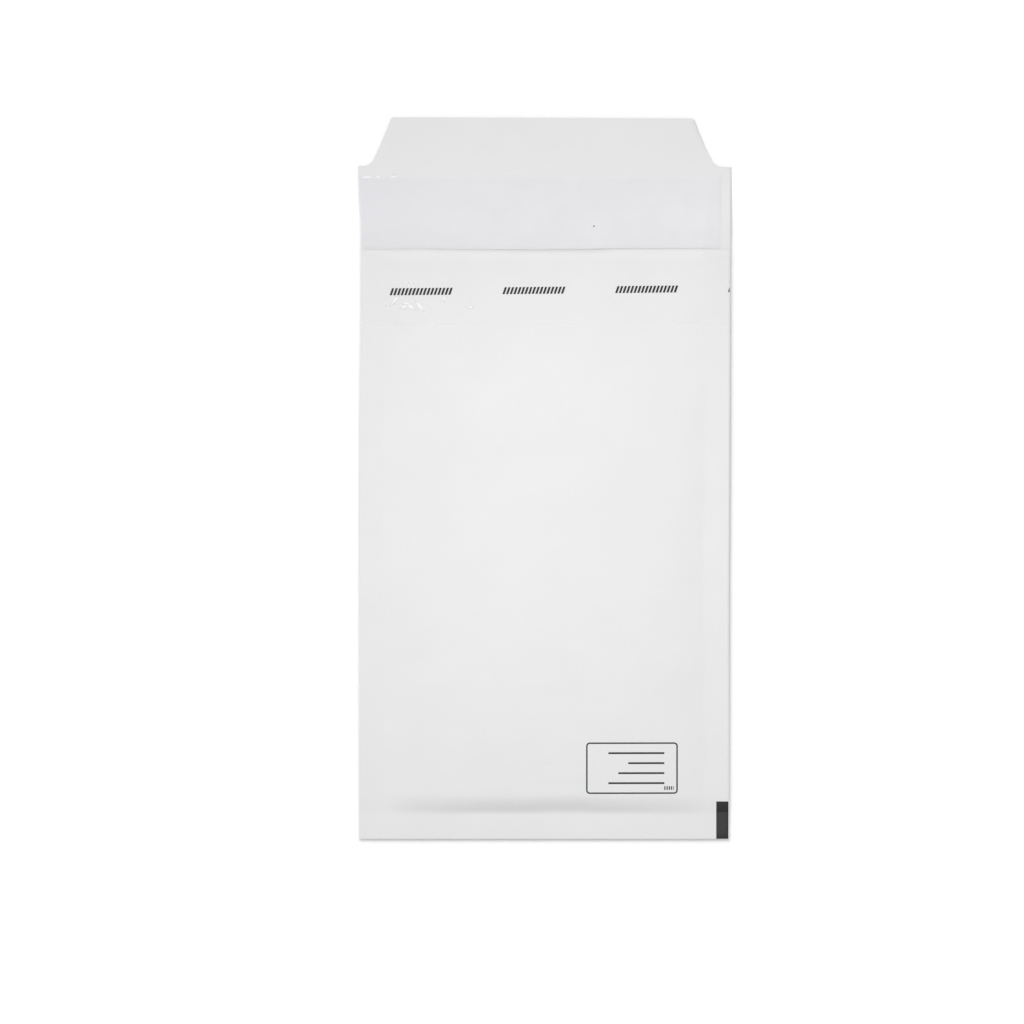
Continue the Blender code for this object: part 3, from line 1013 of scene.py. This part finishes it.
def floor_material():
    """White, and backlit where the pool of light doesn't reach, so that it is evenly white."""
    nodes = Nodes("studio_white")
    low = (FLOOR_TONE - FLOOR_MOTTLE,) * 3 + (1.0,)
    high = (FLOOR_TONE + FLOOR_MOTTLE,) * 3 + (1.0,)
    nodes.set("Base Color", nodes.blend(nodes.noise(0.5, 2.0), low, high))
    nodes.set("Roughness", 0.9)
    nodes.set("Specular IOR Level", 0.1)
    offsets = [nodes.math("SUBTRACT", part, at) for part, at in zip((nodes.x, nodes.y), POOL_PLACE)]
    squares = [nodes.math("MULTIPLY", part, part) for part in offsets]
    spread = nodes.math("MULTIPLY", nodes.math("ADD", *squares), 1 / POOL_HEIGHT**2)
    spread = nodes.math("ADD", spread, 1.0)
    pool = nodes.math("DIVIDE", FLOOR_TONE * POOL_SHARE, nodes.math("MULTIPLY", spread, spread))
    rest = FLOOR_LEVEL - FLOOR_TONE * (KEY_SHARE + FILL_SHARE)
    nodes.set("Emission Color", (1.0, 1.0, 1.0, 1.0))
    nodes.set("Emission Strength", nodes.math("SUBTRACT", rest, pool))
    return nodes.material


# Pieces


def place(piece, slot, *replaced):
    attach(piece, "root")
    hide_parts(*replaced)
    return piece


def build_panels():
    paper = paper_material("paper_white")
    printed = printed_paper_material("paper_printed")
    place(make_front("front_panel_and_flap", paper), "paper", "front_sheet")
    back = make_sheet("back_panel", ACROSS, BODY_ROWS, back_height, PAPER, (paper, printed), mouth_shift)
    place(back, "paper", "back_sheet")


def build_linings():
    film = film_material()
    lining = make_lining("front_lining", front_film_height, 1, film)
    place(lining, "bubble_film", "front_bubble_film")
    lining = make_lining("back_lining", back_film_height, -1, film)
    place(lining, "bubble_film", "back_bubble_film")


def build_glue_and_liner():
    xs = even(GLUE_LOW.x, GLUE_HIGH.x, GLUE_CELL)
    ys = even(GLUE_LOW.y, GLUE_HIGH.y, GLUE_CELL)
    glue = make_sheet("glue_band", xs, ys, glue_height, STRIP, glue_material())
    place(glue, "adhesive", "adhesive_strip")

    xs = np.concatenate([even(-INNER_X, INNER_X, STRIP_CELL), NEAR_EDGES])
    xs = between(thinned(xs), LINER_LOW.x, LINER_HIGH.x)
    ys = even(LINER_LOW.y, LINER_HIGH.y, STRIP_CELL)
    liner = make_sheet("liner_strip", xs, ys, liner_height, STRIP, liner_material(), liner_shift)
    place(liner, "liner", "release_liner")


# The crinkled part of the tape, from left to right, has a finer mesh.
CRINKLED_PART = (at_pixel(382, 0)[0], at_pixel(478, 0)[0])
# The tape reaches a little nearer to the panel's right edge than in the frame.
TAPE_EXTRA = 0.0002


def build_tape():
    low, high = CRINKLED_PART
    parts = [even(-INNER_X, low, STRIP_CELL), even(low, high, FINE_CELL)]
    parts += [even(high, INNER_X, STRIP_CELL), NEAR_EDGES]
    xs = between(thinned(np.concatenate(parts)), TAPE_LOW.x, TAPE_HIGH.x + TAPE_EXTRA)
    ys = even(TAPE_LOW.y, TAPE_HIGH.y, FINE_CELL)
    tape = make_sheet("tape_strip", xs, ys, tape_height, STRIP / 2, tape_material(), mouth_shift)
    place(tape, "clear_tape", "reopen_tape")


# Studio

FLOOR_RADIUS = 4.0
FLOOR_RIM = 6.0
FLOOR_RISE = 1.2
FLOOR_RINGS = 16
FLOOR_SEGMENTS = 96
FLOOR_DEPTH = 0.0001


def build_floor():
    """A round white floor whose far rim curves up, so that no horizon shows in low views."""
    angles = [2 * math.pi * i / FLOOR_SEGMENTS for i in range(FLOOR_SEGMENTS)]
    bm = bmesh.new()
    rings = []
    for ring in range(FLOOR_RINGS + 1):
        share = ring / FLOOR_RINGS
        radius = FLOOR_RADIUS + (FLOOR_RIM - FLOOR_RADIUS) * share
        rise = FLOOR_RISE * share**2
        rings.append([bm.verts.new((radius * math.cos(a), radius * math.sin(a), rise)) for a in angles])
    bm.faces.new(rings[0])
    for lower, upper in zip(rings, rings[1:]):
        for i in range(FLOOR_SEGMENTS):
            j = (i + 1) % FLOOR_SEGMENTS
            bm.faces.new((lower[i], upper[i], upper[j], lower[j]))
    mesh = bpy.data.meshes.new("studio_floor")
    bm.to_mesh(mesh)
    bm.free()
    floor = bpy.data.objects.new("studio_floor", mesh)
    floor.location.z = -FLOOR_DEPTH
    bpy.context.scene.collection.objects.link(floor)
    mesh.materials.append(floor_material())
    mesh.shade_smooth()


def build_lights():
    """A soft key from above the flap, a pool of light over the middle, and an even white fill."""
    key = bpy.data.lights.new("key", "SUN")
    key.energy = KEY_SHARE * math.pi / math.sin(math.radians(KEY_ELEVATION))
    key.angle = math.radians(KEY_ANGLE)
    key_object = bpy.data.objects.new("key", key)
    key_object.rotation_euler = (
        -math.radians(90 - KEY_ELEVATION),
        0.0,
        math.radians(KEY_AZIMUTH),
    )
    bpy.context.scene.collection.objects.link(key_object)
    pool = bpy.data.lights.new("pool", "AREA")
    pool.shape = "DISK"
    pool.size = POOL_SIZE
    pool.energy = POOL_SHARE * math.pi**2 * POOL_HEIGHT**2
    pool_object = bpy.data.objects.new("pool", pool)
    pool_object.location = (*POOL_PLACE, POOL_HEIGHT)
    pool_object.visible_camera = False
    bpy.context.scene.collection.objects.link(pool_object)
    world = bpy.data.worlds.new("studio")
    world.use_nodes = True
    background = world.node_tree.nodes["Background"]
    background.inputs["Color"].default_value = (1.0, 1.0, 1.0, 1.0)
    background.inputs["Strength"].default_value = FILL_SHARE
    bpy.context.scene.world = world
    bpy.context.scene.view_settings.view_transform = "Standard"
    bpy.context.scene.view_settings.look = "None"


CAMERA_HEIGHT = 2.4
SENSOR_WIDTH_MM = 36


def build_camera():
    """Straight above the photograph's centre, with a long lens."""
    cx, cy = at_pixel(IMAGE_SIZE / 2, IMAGE_SIZE / 2)
    data = bpy.data.cameras.new("camera")
    data.sensor_width = SENSOR_WIDTH_MM
    data.lens = data.sensor_width * (CAMERA_HEIGHT - PANEL_TOP / 2) / (IMAGE_SIZE * METRES_PER_PIXEL)
    data.clip_start = 0.1
    data.clip_end = 50.0
    camera = bpy.data.objects.new("camera", data)
    camera.location = (cx, cy, CAMERA_HEIGHT)
    bpy.context.scene.collection.objects.link(camera)
    bpy.context.scene.camera = camera


build_camera()
build_panels()
build_linings()
build_glue_and_liner()
build_tape()
build_floor()
build_lights()
